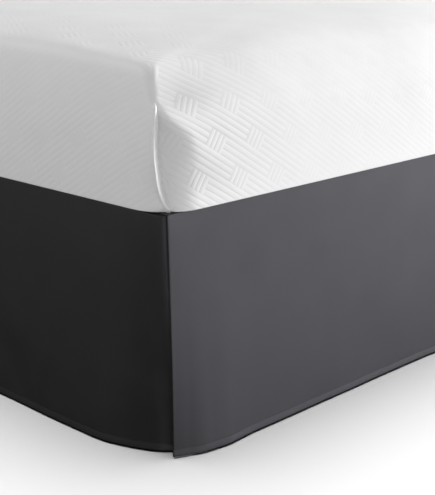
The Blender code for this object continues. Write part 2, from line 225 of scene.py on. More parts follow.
BOX_SPRING_COLUMNS = (60, 80)  # of half the foot and half a side
WELT = 0.0022  # radius of the cord round the box spring's edges
WELT_RISES = (0.012, BOX_SPRING_HEIGHT - 0.012)
WELT_INSET = 0.0012
BULGE = 0.0011  # of the box spring's sides between the welts

# -------- finishes, camera and lights
SKIRT_DARK = (0.0165, 0.0166, 0.0172)
SKIRT_LIGHT = (0.0235, 0.0236, 0.0245)
WEAVE_PITCH = 0.0009

CAMERA_PLACE = (1.8247, -2.0031, 0.7179)
CAMERA_FALL = 15.37  # degrees below the horizontal
CAMERA_TURN = 44.44  # degrees from looking along +Y
LENS = 84.36

FLOOR_REACH = 120.0
AMBIENT = 0.03  # from below, fading out upwards
WHITE = (1, 1, 1)
COOL = (0.932, 0.913, 1)
LIGHTS = (
    # what it lights, name, place, aim, size, watts, colour
    ("mattress", "back right softbox", (2.2, 3.6, 1), (0.6, -0.6, 0.3), (1.6, 1.6), 215, WHITE),
    ("mattress", "high back bank", (0.3, 2.6, 2.4), (0.3, -0.8, 0.4), (3, 2), 121, WHITE),
    ("mattress", "overhead bank", (0.3, -0.6, 3.2), (0.3, -0.8, 0.4), (3, 3), 18, WHITE),
    ("mattress", "level foot bank", (-0.5, -3, 0.6), (-0.3, -1, 0.5), (3, 0.8), 14.4, WHITE),
    ("mattress", "foot strip", (-0.5, -1.5, 1.1), (-0.5, -1, 0.4), (4, 0.3), 8.8, WHITE),
    ("mattress", "foot floor bounce", (0, -1.7, 0.02), (0, -1, 0.5), (4, 0.8), 1.8, WHITE),
    ("mattress", "side floor bounce", (1.45, 0, 0.02), (0.76, 0, 0.5), (4, 0.8), 11.5, WHITE),
    ("mattress", "low right strip", (3.2, 0, 0.25), (0.76, 0, 0.45), (3, 0.4), 5.5, WHITE),
    ("mattress", "right panel", (2.2, 1, 1.3), (0.76, 0.2, 0.3), (1.2, 1.2), 13, WHITE),
    ("skirt", "back right softbox", (2.2, 3.7, 1), (0.6, -0.6, 0.3), (1.6, 1.6), 113.9, COOL),
    ("skirt", "right panel", (2.3, 1, 1.3), (0.76, 0.2, 0.3), (1.2, 1.2), 29.5, COOL),
    ("skirt", "side floor bounce", (1.5, 0, 0.02), (0.76, 0, 0.5), (4, 0.8), 18.1, COOL),
    ("skirt", "level foot bank", (-0.5, -3.1, 0.6), (-0.3, -1, 0.5), (3, 0.8), 16.8, WHITE),
    ("skirt", "foot floor bounce", (0, -1.75, 0.02), (0, -1, 0.5), (4, 0.8), 0.6, WHITE),
    ("skirt", "level left bank", (-2.9, 0.3, 0.7), (-0.76, 0.1, 0.3), (3, 0.8), 24, WHITE),
    ("skirt", "low right strip", (3.3, 0, 0.25), (0.76, 0, 0.45), (3, 0.4), 3.7, COOL),
)
FLOOR_SUN = 3.6


# -------- curves and surfaces
def mix(low, high, share):
    return low + (high - low) * share


def ease(value, start, end):
    """0 before start, 1 after end, smooth between."""
    share = np.clip((value - start) / (end - start), 0.0, 1.0)
    return share * share * (3 - 2 * share)


def unit(vectors):
    return vectors / np.linalg.norm(vectors, axis=-1, keepdims=True)


def read_table(table_mm, positions):
    """Columns of a table of millimetres at fractional row positions, smoothly, in metres."""
    rows = np.array(table_mm, float) / 1000
    rows = np.vstack((2 * rows[0] - rows[1], rows, 2 * rows[-1] - rows[-2]))
    index = np.clip(np.floor(positions).astype(int), 0, len(table_mm) - 2)
    t = (positions - index)[..., None]
    before, first, second, after = (rows[index + step] for step in range(4))
    return 0.5 * (2 * first + (second - before) * t
                  + (2 * before - 5 * first + 4 * second - after) * t ** 2
                  + (3 * first - before - 3 * second + after) * t ** 3)


def read_relief(table_mm, distance):
    """Relief at distances, from a table of both in millimetres."""
    table = np.array(table_mm) / 1000
    return np.interp(distance, table[:, 0], table[:, 1])


def joined(*coordinates):
    """Points from arrays of coordinates, or from single ones that all of them share."""
    return np.stack(np.broadcast_arrays(*coordinates), axis=-1)


def closed_ring(rings):
    """Rings with their first point repeated at the end."""
    return np.concatenate((rings, rings[:, :1]), axis=1)


def cloudiness(places, size, seed):
    """Smooth noise of about -1 to 1 at an array of 2-D or 3-D places, with lumps of about size."""
    random = np.random.default_rng(seed)
    total = np.zeros(places.shape[:-1])
    for _ in range(14):
        way = unit(random.normal(size=places.shape[-1]))
        wavelength = size * random.uniform(1.5, 3.0)
        total += np.sin(places @ way * math.tau / wavelength + random.uniform(0, math.tau))
    return total / math.sqrt(14)


class PlanLine:
    """A line in plan, read by the distance along it."""

    def __init__(self, points):
        self.points = np.array(points, float)
        steps = np.linalg.norm(np.diff(self.points, axis=0), axis=1)
        self.distances = np.concatenate(([0.0], np.cumsum(steps)))
        self.length = self.distances[-1]

    def at(self, marks):
        return np.stack([np.interp(marks, self.distances, self.points[:, axis])
                         for axis in range(self.points.shape[1])], axis=-1)

    def outward(self, marks, reach=0.002):
        """The unit normal on the right of the way along the line."""
        way = (self.at(np.minimum(marks + reach, self.length))
               - self.at(np.maximum(marks - reach, 0.0)))
        return unit(joined(way[..., 1], -way[..., 0]))


def smooth_points(knots):
    """A fine curve through plan knots."""
    count = 12 * (len(knots) - 1)
    positions = np.linspace(0, len(knots) - 1, count + 1)
    return read_table(np.array(knots) * 1000, positions)


def arc_points(centre, radius, start_degrees, end_degrees, steps=64):
    angles = np.radians(np.linspace(start_degrees, end_degrees, steps + 1))
    return np.array(centre) + radius * joined(np.cos(angles), np.sin(angles))


def spaced(*stretches):
    """Increasing values through stretches of (start, end, step)."""
    values = []
    for start, end, step in stretches:
        count = max(1, math.ceil(abs(end - start) / step - 1e-6))
        values.append(np.linspace(start, end, count + 1)[:-1])
    return np.concatenate(values + [[stretches[-1][1]]])


def add_object(name, data):
    thing = bpy.data.objects.new(name, data)
    bpy.context.scene.collection.objects.link(thing)
    return thing


class Skin:
    """A mesh that grows patch by patch, with flat coordinates in metres at every face corner."""

    def __init__(self):
        self.count = 0
        self.points, self.faces, self.flat, self.slots = [], [], [], []

    def add_points(self, points):
        """Adds an array of points and gives back their numbers in the same arrangement."""
        points = np.asarray(points, float)
        numbers = self.count + np.arange(points[..., 0].size).reshape(points.shape[:-1])
        self.points.append(points.reshape(-1, 3))
        self.count += numbers.size
        return numbers

    def add_grid(self, numbers, flat, flip=False, slot=0):
        """Four-sided faces over a grid of point numbers, with the grid's flat coordinates."""
        corners = [(0, 0), (1, 0), (1, 1), (0, 1)]
        if flip:
            corners.reverse()
        rows, columns = numbers.shape[0] - 1, numbers.shape[1] - 1
        picks = [(slice(i, i + rows), slice(j, j + columns)) for i, j in corners]
        self.faces += np.stack([numbers[pick] for pick in picks], axis=-1).reshape(-1, 4).tolist()
        self.flat.append(np.stack([flat[pick] for pick in picks], axis=2).reshape(-1, 2))
        self.slots += [slot] * (rows * columns)

    def add_face(self, numbers, flat, slot=0):
        self.faces.append([int(number) for number in numbers])
        self.flat.append(np.asarray(flat, float).reshape(-1, 2))
        self.slots.append(slot)

    def make(self, name, *materials, mirrored=False):
        points = np.concatenate(self.points) * (-1 if mirrored else 1, 1, 1)
        mesh = bpy.data.meshes.new(name)
        mesh.from_pydata(points.tolist(), [], self.faces)
        layer = mesh.uv_layers.new(name="flat")
        layer.data.foreach_set("uv", np.concatenate(self.flat).astype(np.float32).ravel())
        mesh.polygons.foreach_set("material_index", np.array(self.slots, np.int32))
        if mirrored:
            mesh.flip_normals()
        for material in materials:
            mesh.materials.append(material)
        mesh.shade_smooth()
        mesh.update()
        return add_object(name, mesh)


def grid_normals(grid):
    """Unit normals of a grid of points, first axis crossed with second."""
    return unit(np.cross(np.gradient(grid, axis=0), np.gradient(grid, axis=1)))


def rounded_edges(sheet):
    """Extends a sheet past its four edges, so that they close in half rounds.

    Its grid holds the middle surface, half the thickness, the normal and flat coordinates.
    """
    for axis in (1, 0):
        sheet = np.swapaxes(sheet, 0, axis)
        for edge, inner in ((0, 1), (-1, -2)):
            place, half, normal, flat = np.split(sheet[edge], SHEET_PARTS, axis=-1)
            before, _, _, flat_before = np.split(sheet[inner], SHEET_PARTS, axis=-1)
            way, flat_way = unit(place - before), unit(flat - flat_before)
            extra = []
            for turn in EDGE_TURNS:
                reach = half * math.sin(turn)
                extra.append(np.concatenate((place + way * reach, half * math.cos(turn), normal,
                                             flat + flat_way * reach), axis=-1))
            sheet = np.concatenate((sheet, extra) if edge else (extra[::-1], sheet))
        sheet = np.swapaxes(sheet, 0, axis)
    return sheet


def cloth_sheet(outer, normal, thickness, flat):
    """A closed sheet of cloth under an outer face, with rounded edges."""
    half = thickness[..., None] / 2
    sheet = rounded_edges(np.concatenate((outer - normal * half, half, normal, flat), axis=-1))
    middle, half, normal, flat = np.split(sheet, SHEET_PARTS, axis=-1)
    skin = Skin()
    front = skin.add_points(middle + normal * half)
    back = front.copy()
    back[1:-1, 1:-1] = skin.add_points((middle - normal * half)[1:-1, 1:-1])
    inward = (grid_normals(middle) * normal).sum() < 0
    skin.add_grid(front, flat, flip=inward)
    skin.add_grid(back, flat, flip=not inward)
    return skin


# -------- bed skirt
def doubled(distance):
    """1 where the cloth is turned back on itself beside an edge, 0 beyond."""
    return 1 - ease(distance, HEM_TURN - 0.0004, HEM_TURN + 0.0008)


def panel_face(top, hem, marks, flange_top, shoulder, fall_power, waves, turn):
    """Outer face of a hanging panel as a grid, and its rows' distance down the cloth.

    The cloth turns over its shoulder across the top edge, or in plan along the way "turn".
    """
    outward = top.outward(marks)
    edge = top.at(marks)
    turn = outward if turn is None else np.array(turn)
    swing = sum(size * np.sin(math.tau * marks / wavelength + phase)
                for wavelength, size, phase in waves)
    hem_point = hem.at(marks / top.length * hem.length) + outward * swing[:, None]
    shift = hem_point - edge
    outward_part = outward * (shift * outward).sum(axis=-1, keepdims=True)
    along_part = shift - outward_part
    rows = [(edge - turn * inset, flange_top)
            for inset in np.linspace(FLANGE - CLOTH / 2, shoulder, FLANGE_STEPS + 1)[:-1]]
    rows += [(edge - turn * shoulder * (1 - math.sin(angle)),
              flange_top - shoulder * (1 - math.cos(angle)))
             for angle in np.linspace(0, math.pi / 2, SHOULDER_STEPS + 1)]
    drop_top = flange_top - shoulder
    straight = spaced((drop_top - DROP_START, HEM_CLEARANCE + HEM_RISES[0], DROP_STEP))[:-1]
    for height in (*straight, *(HEM_CLEARANCE + HEM_RISES)):
        fall = (drop_top - height) / (drop_top - HEM_CLEARANCE)
        rows.append((edge + along_part * fall ** ALONG_FALL + outward_part * fall ** fall_power,
                     height))
    grid = np.stack([np.column_stack((plan, np.full(len(marks), height)))
                     for plan, height in rows], axis=1)
    return grid, PlanLine(grid[len(marks) // 2]).distances


def hung_panel(name, cloth, top, hem, marks, heights, fall_power, waves, seed, turn=None, side=1):
    """A panel of cloth with its hem, its undulation and its row of stitches.

    A panel that turns over its shoulder along one way has a free edge at its start.
    """
    free_edge = turn is not None
    outer, down = panel_face(top, hem, marks, *heights, fall_power, waves, turn)
    normal = -grid_normals(outer)
    from_edge, rise = np.broadcast_arrays(marks[:, None], down[-1] - down + HEM_CLOTH / 2)
    flat = joined(from_edge, down)
    folded = doubled(rise)
    relief = read_relief(HEM_RELIEF_MM, rise)
    if free_edge:
        hanging = ease(down, FLANGE, FLANGE + 0.02)
        relief = relief + FREE_EDGE_RELIEF * hanging * (1 - ease(from_edge, *FREE_EDGE_FADE))
        folded = folded + doubled(from_edge) * hanging
    loose = ease(down, FLANGE + 0.012, FLANGE + 0.12)
    relief = relief + loose * sum(
        size * cloudiness(flat * stretch, lump, seed + number)
        for number, (size, stretch, lump) in enumerate(WRINKLES))
    face = outer + normal * relief[..., None]
    thickness = CLOTH + (HEM_CLOTH - CLOTH) * folded
    piece = cloth_sheet(face, normal, thickness, flat).make(name, cloth, mirrored=side < 0)

    stitches = Skin()
    row = len(down) - len(HEM_RISES) + int(np.argmin(abs(HEM_RISES - STITCH_RISE)))
    first = int(np.argmin(abs(marks - STITCH_RISE))) if free_edge else 0
    add_stitches(stitches, face[first:, row], normal[first:, row])
    return piece, stitches


def add_stitches(skin, line, normals):
    """Short bars of thread along a line on the cloth, with a gap between one and the next."""
    way = PlanLine(line)
    flat = joined(np.arange(5)[:, None] * 0.0005, np.arange(7) * 0.0003)
    for start in np.arange(STITCH_PITCH / 2, way.length - STITCH_LENGTH, STITCH_PITCH):
        first, last = way.at(start), way.at(start + STITCH_LENGTH)
        up = unit(np.array([np.interp(start, way.distances, values) for values in normals.T]))
        along = unit(last - first)
        across = np.cross(along, up)
        rings = []
        for share, size in STITCH_SHAPE:
            centre = mix(first, last, share) + up * THREAD * (0.6 * math.sin(math.pi * share) - 0.3)
            rings.append([centre + THREAD * size * (across * math.cos(turn) + up * math.sin(turn))
                          for turn in np.arange(6) * math.tau / 6])
        numbers = skin.add_points(np.array(rings))
        skin.add_grid(closed_ring(numbers), flat, flip=True)
        skin.add_face(numbers[0], np.zeros((6, 2)))
        skin.add_face(numbers[-1][::-1], np.zeros((6, 2)))


def make_skirt(cloth, thread):
    """The two side panels, the foot panel and the platform that they hang from."""
    def at_corner(table_mm):
        return [(SIDE_X - inset / 1000, -FOOT_Y + along / 1000) for along, inset in table_mm]

    head_end = [(SIDE_X, HEAD_Y - CLOTH / 2)]
    side_centre = (SIDE_X - SIDE_CORNER_RADIUS, -FOOT_Y + SIDE_CORNER_RADIUS)
    side_arc = arc_points(side_centre, SIDE_CORNER_RADIUS, -SIDE_CORNER_TURN, 0)
    side_top = PlanLine(np.vstack((side_arc, head_end)))
    side_hem = PlanLine(np.vstack((smooth_points(at_corner(SIDE_HEM_MM)), head_end)))
    side_marks = spaced(*FREE_EDGE_STEPS, (FREE_EDGE_STEPS[-1][1], side_top.length, WIDE_STEP))

    foot_centre = (SIDE_X - LAP - CORNER_RADIUS, -FOOT_Y + LAP + CORNER_RADIUS)
    right_top = np.vstack((arc_points(foot_centre, CORNER_RADIUS, -90, 0),
                           [(SIDE_X - LAP, foot_centre[1] + TUCK)]))
    right_hem = smooth_points(at_corner(FOOT_HEM_MM))
    foot_top, foot_hem = (PlanLine(np.vstack((half[::-1] * (-1, 1), half)))
                          for half in (right_top, right_hem))
    arc_start = TUCK - ARC_MARGIN
    arc_end = TUCK + CORNER_RADIUS * math.pi / 2 + ARC_MARGIN
    corner_end = arc_end + CORNER_REACH
    half_marks = spaced((CLOTH / 2, arc_start, CORNER_STEP), (arc_start, arc_end, ARC_STEP),
                        (arc_end, corner_end, CORNER_STEP),
                        (corner_end, foot_top.length / 2, WIDE_STEP))
    foot_marks = np.concatenate((half_marks, foot_top.length - half_marks[-2::-1]))

    side_shape = (side_top, side_hem, side_marks, (SIDE_FLANGE_TOP, SHOULDER_RADIUS), SIDE_FALL)
    foot_shape = (foot_top, foot_hem, foot_marks, (DECK_TOP, SHOULDER_RADIUS - LAP), FOOT_FALL)
    across = (1.0, 0.0)
    panels = (
        ("skirt_side_panel_right", SIDE_CUT_LENGTH, 1,
         hung_panel("skirt_side_right", cloth, *side_shape, RIGHT_WAVES, 11, across)),
        ("skirt_side_panel_left", SIDE_CUT_LENGTH, -1,
         hung_panel("skirt_side_left", cloth, *side_shape, LEFT_WAVES, 23, across, side=-1)),
        ("skirt_foot_panel", FOOT_CUT_LENGTH, 1,
         hung_panel("skirt_foot", cloth, *foot_shape, FOOT_WAVES, 37)),
    )
    for node, length, side, (piece, stitches) in panels:
        seam = stitches.make(piece.name + "_stitching", thread, mirrored=side < 0)
        for part in (piece, seam):
            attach(part, "root")
        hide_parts(node)
    make_deck(cloth)


def make_deck(cloth):
    """The platform sheet between box spring and mattress, cut back for the foot panel's flange."""
    edge_x = SIDE_X - SHOULDER_RADIUS
    seam_x = SIDE_X - LAP - FLANGE - SEAM_GAP
    seam_y = -FOOT_Y + LAP + FLANGE + SEAM_GAP
    radius = CORNER_RADIUS - FLANGE - SEAM_GAP
    step_y = -FOOT_Y + LAP + CORNER_RADIUS + TUCK + SEAM_GAP
    head_y = HEAD_Y - HEM_CLOTH / 2
    before_step, hem_y = step_y - DECK_FINE_STEP, head_y - DECK_HEM_REACH
    ys = spaced((seam_y + CLOTH / 2, seam_y + radius, DECK_FINE_STEP / 2),
                (seam_y + radius, before_step, DECK_STEP), (before_step, step_y, DECK_FINE_STEP),
                (step_y, hem_y, DECK_LONG_STEP), (hem_y, head_y, DECK_HEM_STEP))
    inside = np.clip((seam_y + radius - ys) / radius, 0, 1)
    half_width = np.where(ys < step_y, seam_x - radius + radius * np.sqrt(1 - inside ** 2), edge_x)
    shares = spaced((-1.0, 1.0, DECK_SHARE))
    x, y = np.broadcast_arrays(shares[:, None] * (half_width - CLOTH / 2), ys)
    hem_layer = (HEM_CLOTH - CLOTH) * doubled(head_y - y)
    outer = joined(x, y, DECK_TOP + hem_layer)
    normal = np.zeros_like(outer) + (0.0, 0.0, 1.0)
    sheet = cloth_sheet(outer, normal, CLOTH + hem_layer, outer[..., :2]).make(
        "skirt_platform", cloth)
    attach(sheet, "root")
    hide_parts("skirt_deck")


# -------- mattress
def mirrored_ring(quarter):
    """A whole ring from its quarter between the middles of the foot and the right-hand side."""
    back = quarter[::-1]
    return np.concatenate((quarter[:-1], back[:-1] * (1, -1), quarter[:-1] * (-1, -1),
                           back[:-1] * (-1, 1)))


def section_ring(height, end_inset, side_inset, radius, foot_shares, seam_columns, side_shares):
    """Plan points round one section of the mattress, and how far each is moved at its corner."""
    x = MATTRESS_X - side_inset - radius
    y = MATTRESS_Y - end_inset - radius
    turn = radius * math.pi / 2
    heights, degrees, edges = np.array(SEAM_PLACES).T
    seam = x + radius * math.radians(90 + np.interp(height * 1000, heights, degrees))
    marks = np.concatenate((foot_shares * (seam + seam_columns[0]), seam + seam_columns,
                            mix(seam + seam_columns[-1], x + turn + y, side_shares)))
    angles = np.clip(marks - x, 0, turn) / radius
    points = joined(np.minimum(marks, x) + radius * np.sin(angles),
                    np.maximum(marks - x - turn, 0) - y - radius * np.cos(angles))
    drawn = np.interp(height * 1000, *zip(*DRAWN_MM)) / 1000
    inward, beside = DRAWN_REACHES
    points[:, 0] -= (drawn * np.clip((points[:, 0] - x - radius + inward) / inward, 0, 1)
                     * np.exp(-((points[:, 1] + y + radius) / beside) ** 2))

    # The end's cloth runs straight on to its seam, which stands off the corner
    first, number = len(foot_shares), len(foot_shares) + int(np.argmax(seam_columns >= 0))
    moves = np.zeros_like(points)
    tip = np.array((np.interp(height * 1000, heights, edges) / 1000, -y - radius))
    stand = ease(height, *SEAM_STAND) * (1 - ease(height, *SEAM_END))
    share = ((marks - marks[first]) / (marks[number] - marks[first]))[first:number, None]
    moves[first:number] += stand * (mix(points[first], tip, share) - points[first:number])
    flank = np.interp(marks[number:] - marks[number], *zip(*FLANK))
    moves[number:] += stand * flank[:, None] * (tip - points[number])
    return mirrored_ring(points), mirrored_ring(moves)


def past_corner(plan, end_inset, side_inset, corner):
    """How far plan points lie outside the lines a corner's size inside a section's sides."""
    return (np.abs(plan[..., 0]) - (MATTRESS_X - side_inset - corner),
            np.abs(plan[..., 1]) - (MATTRESS_Y - end_inset - corner))


def sunk(plan, end_inset, side_inset, radius, sink):
    """How far a section's points sink near the four corners."""
    gaps = past_corner(plan, end_inset, side_inset, radius * (1 - math.sqrt(0.5)))
    return sink * np.exp(-sum((gap / reach) ** 2 for gap, reach in zip(gaps, SINK_REACHES)))


def top_height(plan):
    """Height of the mattress's top over plan points well inside its edge."""
    low = np.full(plan.shape[:-1], float(FLAT_TOP_ROW))
    high = np.full(plan.shape[:-1], float(len(MATTRESS_SECTIONS_MM) - 1))
    for _ in range(HALVINGS):
        middle = (low + high) / 2
        _, end_inset, side_inset, radius, _ = np.moveaxis(
            read_table(MATTRESS_SECTIONS_MM, middle), -1, 0)
        gap_x, gap_y = past_corner(plan, end_inset, side_inset, radius)
        outside = (np.hypot(np.maximum(gap_x, 0), np.maximum(gap_y, 0))
                   + np.minimum(np.maximum(gap_x, gap_y), 0) - radius) > 0
        high = np.where(outside, middle, high)
        low = np.where(outside, low, middle)
    height, *corner = np.moveaxis(read_table(MATTRESS_SECTIONS_MM, low), -1, 0)
    return MATTRESS_BOTTOM + height - sunk(plan, *corner)


def block_furrows(flat):
    """1 in the furrows round the quilt's blocks, towards 0 away from them."""
    angle = math.radians(QUILT_ANGLE)
    u, v = np.moveaxis(flat - BLOCK_START, -1, 0) / RIB_PITCH
    along = u * math.cos(angle) - v * math.sin(angle)
    across = u * math.sin(angle) + v * math.cos(angle)
    column = np.round(along / COLUMN_PITCH)
    along = along - column * COLUMN_PITCH
    across = across - column * COLUMN_SHIFT
    across = across - np.round(across / BLOCK_PITCH) * BLOCK_PITCH
    outside = np.maximum(np.abs(along) - BLOCK_WIDTH / 2, np.abs(across) - BLOCK_HEIGHT / 2)
    return np.exp(-np.abs(outside) * RIB_PITCH / FURROW_REACH)


def top_flat(plan, rim_rise):
    """Flat coordinates of the cover's top, which runs on from the right-hand side's."""
    return joined(plan[..., 1] + MATTRESS_Y, rim_rise + MATTRESS_X - RIM_INSET - plan[..., 0])


def padding(places):
    """Unevenness of the padding, in metres."""
    return sum(size * cloudiness(places, lump, seed) for size, lump, seed in PADDING)


def hollow(distance, rise):
    """Depth of the slack on the long side of a corner seam, wider and deeper lower down."""
    depth = HOLLOW_DEPTH * (1 - ease(rise, *HOLLOW_END)) * ease(rise, *HOLLOW_START)
    reach = np.interp(rise, *zip(*HOLLOW_REACHES))
    share = np.clip(distance / reach, 0, 1)
    return depth * ease(distance, *HOLLOW_EDGE) * np.cos(share * math.pi / 2) ** 2 * (distance > 0)


def zip_rings(skin, outer, inner, outer_plan, inner_plan, to_flat=lambda place: place):
    """Triangles between two closed rings of different numbers of points."""
    def shares(plan):
        lengths = np.linalg.norm(np.diff(plan, axis=0, append=plan[:1]), axis=1)
        return np.concatenate(([0.0], np.cumsum(lengths))) / lengths.sum()

    outer_shares, inner_shares = shares(outer_plan), shares(inner_plan)
    i = j = 0
    while i < len(outer) or j < len(inner):
        a, b = i % len(outer), j % len(inner)
        step_outer = j == len(inner) or (
            i < len(outer) and outer_shares[i + 1] <= inner_shares[j + 1])
        if step_outer:
            i += 1
            third, place = outer[i % len(outer)], outer_plan[i % len(outer)]
        else:
            j += 1
            third, place = inner[j % len(inner)], inner_plan[j % len(inner)]
        corners = np.array((outer_plan[a], place, inner_plan[b]))
        skin.add_face((outer[a], third, inner[b]), to_flat(corners))


def seam_distances(around, seams):
    """Distance round each ring from the nearest corner seam, positive along the long sides."""
    nearest = np.full(around.shape, np.inf)
    whole = around[:, -1:]
    for number, way in zip(seams, (1, -1, 1, -1)):
        distance = way * (around - around[:, number:number + 1])
        distance = np.mod(distance + whole / 2, whole) - whole / 2
        nearest = np.where(np.abs(distance) < np.abs(nearest), distance, nearest)
    return nearest


def side_patches(around, up, quarter, seams, over_top):
    """The cover's patches between seams: first and last column, last ring, flat coordinates.

    The right-hand side's runs on over the top.
    """
    whole = around[:, -1:]
    foot = MATTRESS_X + np.where(np.arange(4 * quarter + 1) <= seams[0], -around, whole - around)
    right = MATTRESS_Y + around - around[:, quarter, None]
    head = MATTRESS_X + around - around[:, 2 * quarter, None]
    left = MATTRESS_Y + around[:, 3 * quarter, None] - around
    ends = (0, *seams, 4 * quarter)
    return [(start, end, len(up) - 1 if places is right else over_top,
             joined(places, up[:, None]))
            for start, end, places in zip(ends, ends[1:], (foot, right, head, left, foot))]


def make_mattress(cover):
    """Round-edged quilted slab, with a seam's fold of cloth standing at each corner."""
    left, right = (np.array(columns) / 1000 for columns in CORNER_COLUMNS_MM)
    seam_columns = np.concatenate((-left, right))
    foot_shares = np.linspace(0, 1, FOOT_COLUMNS + 1)[:-1]
    side_shares = np.linspace(0, 1, SIDE_COLUMNS + 1)[1:]
    seam = len(foot_shares) + len(left)
    quarter = len(foot_shares) + len(seam_columns) + len(side_shares) - 1
    seams = (seam, 2 * quarter - seam, 2 * quarter + seam, 4 * quarter - seam)

    positions = spaced(*RING_STEPS)
    rows = read_table(MATTRESS_SECTIONS_MM, positions)
    plan, moves = np.swapaxes([section_ring(*row[:4], foot_shares, seam_columns, side_shares)
                               for row in rows], 0, 1)
    height, *corner = rows.T[..., None]
    z = MATTRESS_BOTTOM + height - sunk(plan, *corner)
    rings = np.concatenate((plan, z[..., None]), axis=-1)

    # Distances round each ring and up the section
    steps = np.linalg.norm(np.diff(plan, axis=1, append=plan[:, :1]), axis=-1)
    around = np.concatenate((np.zeros((len(plan), 1)), np.cumsum(steps, axis=1)), axis=1)
    up = PlanLine(rings[:, 0]).distances
    up_column = up[:, None]
    patches = side_patches(around, up, quarter, seams, int(np.argmax(positions >= OVER_TOP_ROW)))
    over_top = top_flat(closed_ring(plan), up[-1])

    # Relief along the surface's normal
    along = np.roll(rings, -1, axis=1) - np.roll(rings, 1, axis=1)
    normal = unit(np.cross(along, np.gradient(rings, axis=0)))
    distance = seam_distances(around, seams)[:, :-1]
    seam_top = up[int(np.argmax(height[:, 0] >= SEAM_TOP))]
    fold = (read_relief(SEAM_RELIEF_MM, distance)
            * (1 - ease(up_column, seam_top, seam_top + SEAM_FADE))
            * mix(LOW_FOLD, 1.0, ease(up_column, *LOW_FOLD_END)))
    quilted = ease(up_column, *QUILT_START) * ease(np.abs(distance), *QUILT_GAP)
    furrows = block_furrows(over_top)
    for start, end, last, flat in patches:
        furrows[:last + 1, start:end + 1] = block_furrows(flat[:last + 1, start:end + 1])
    relief = (fold - hollow(distance, rings[..., 2] - MATTRESS_BOTTOM)
              - FURROW_RELIEF * quilted * furrows[:, :-1]
              + padding(rings) * ease(up_column, *PADDING_START))
    surface = rings + normal * relief[..., None]
    surface[..., :2] += moves

    skin = Skin()
    numbers = skin.add_points(surface)
    closed = closed_ring(numbers)
    for start, end, last, flat in patches:
        columns = slice(start, end + 1)
        skin.add_grid(closed[:last + 1, columns].T, flat[:last + 1, columns].swapaxes(0, 1))
        if last < len(rings) - 1:
            skin.add_grid(closed[last:, columns].T, over_top[last:, columns].swapaxes(0, 1))

    add_top(skin, numbers[-1], plan[-1], quarter, up[-1])
    add_bottom(skin, numbers[0], surface[0])
    mattress = skin.make("mattress_cover", cover)
    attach(mattress, "root")
    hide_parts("mattress")


def add_top(skin, rim_numbers, rim_plan, quarter, rim_rise):
    """The top inside the last ring, on an even grid whose edge follows the ring."""
    half_x = MATTRESS_X - TOP_INSET
    half_y = MATTRESS_Y - TOP_INSET
    count_x, count_y = (2 * round(half / TOP_STEP) for half in (half_x, half_y))
    x = np.linspace(-half_x, half_x, count_x + 1)
    y = np.linspace(-half_y, half_y, count_y + 1)
    middle = joined(x[:, None], y)
    edge_x = x[count_x // 2:]
    edge_y = y[:count_y // 2 + 1]
    inner = mirrored_ring(np.concatenate((joined(edge_x, -half_y), joined(half_x, edge_y[1:]))))

    rim_quarter = PlanLine(rim_plan[:quarter + 1])
    apex = rim_quarter.distances[np.argmax(rim_quarter.points @ (1, -1))]
    marks = np.concatenate((apex * edge_x / half_x,
                            mix(apex, rim_quarter.length, 1 + edge_y[1:] / half_y)))
    outer = mirrored_ring(rim_quarter.at(marks))
    plan = mix(outer[None], inner[None], np.array(RIM_SHARES)[:, None, None])

    def raised(places):
        points = np.concatenate((places, top_height(places)[..., None]), axis=-1)
        points[..., 2] += (padding(points)
                           - FURROW_RELIEF * block_furrows(top_flat(places, rim_rise)))
        return points

    numbers = skin.add_points(raised(plan))
    zip_rings(skin, rim_numbers, numbers[0], rim_plan, plan[0],
              lambda place: top_flat(place, rim_rise))
    middle_numbers = skin.add_points(raised(middle))
    edge = np.rint((inner / (half_x, half_y) + 1) / 2 * (count_x, count_y)).astype(int)
    numbers = np.concatenate((numbers, middle_numbers[edge[:, 0], edge[:, 1]][None]))
    plan = np.concatenate((plan, inner[None]))
    skin.add_grid(closed_ring(numbers).T, top_flat(closed_ring(plan), rim_rise).swapaxes(0, 1))
    skin.add_grid(middle_numbers, top_flat(middle, rim_rise))


def add_bottom(skin, rim_numbers, rim):
    """The underside: level on the skirt's flanges, lower where it lies on the platform."""
    rings = []
    for inset, radius, z in BOTTOM_RINGS:
        half_x, half_y = MATTRESS_X - inset, MATTRESS_Y - inset
        arc = arc_points((half_x - radius, -half_y + radius), radius, -90, 0, 16)
        quarter = PlanLine(np.concatenate(([(0, -half_y)], arc, [(half_x, 0)])))
        ring = mirrored_ring(quarter.at(np.linspace(0, quarter.length, BOTTOM_POINTS // 4 + 1)))
        rings.append(np.column_stack((ring, np.full(len(ring), z))))
    rings = np.array(rings)
    numbers = skin.add_points(rings)
    zip_rings(skin, rim_numbers[::-1], numbers[0][::-1], rim[::-1, :2], rings[0, ::-1, :2])
    skin.add_grid(closed_ring(numbers).T, closed_ring(rings)[..., :2].swapaxes(0, 1), flip=True)
    skin.add_face(numbers[-1][::-1], rings[-1, ::-1, :2])


# -------- box spring
def box_spring_ring(inset):
    """Plan of the box spring at an inset."""
    radius = max(BOX_SPRING_CORNER - inset, 0.004)
    x = BOX_SPRING_X - inset - radius
    y = BOX_SPRING_Y - inset - radius
    foot_x = x * np.linspace(0, 1, BOX_SPRING_COLUMNS[0] + 1)[:-1]
    side_y = -y * (1 - np.linspace(0, 1, BOX_SPRING_COLUMNS[1] + 1)[1:])
    return mirrored_ring(np.concatenate((
        joined(foot_x, -y - radius), arc_points((x, -y), radius, -90, 0, 24),
        joined(x + radius, side_y))))


